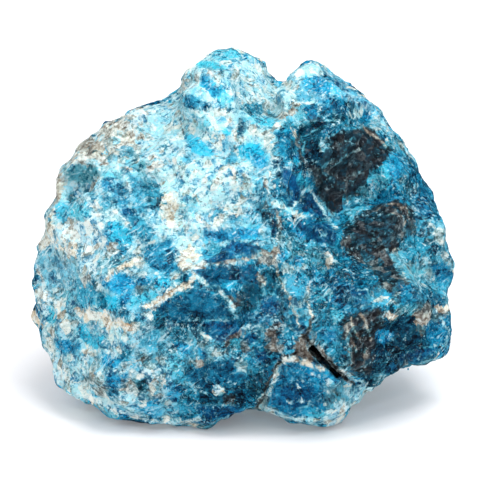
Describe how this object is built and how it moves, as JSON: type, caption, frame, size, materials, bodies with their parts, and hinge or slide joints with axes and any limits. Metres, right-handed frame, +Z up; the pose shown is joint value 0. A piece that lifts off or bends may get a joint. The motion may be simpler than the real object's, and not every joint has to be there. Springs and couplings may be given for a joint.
{
  "type": "rough blue apatite stone",
  "caption": "Rough lump of blue apatite crystals grown together, with broken flat faces, ledges, a deep recess and cracks, resting on a small flat spot.",
  "frame": {"origin": "on the ground, under the middle of the stone's width and depth", "axes": "+Z up; -Y towards the stone's showy side; +X to the right as that side is looked at, along its longest extent"},
  "size_m": [0.0612, 0.044, 0.0478],
  "materials": {
    "apatite": "glassy blue on the broken crystal faces, chalky white and cream in the creases"
  },
  "bodies": {
    "root": {"apatite": "apatite"}
  },
  "joints": []
}
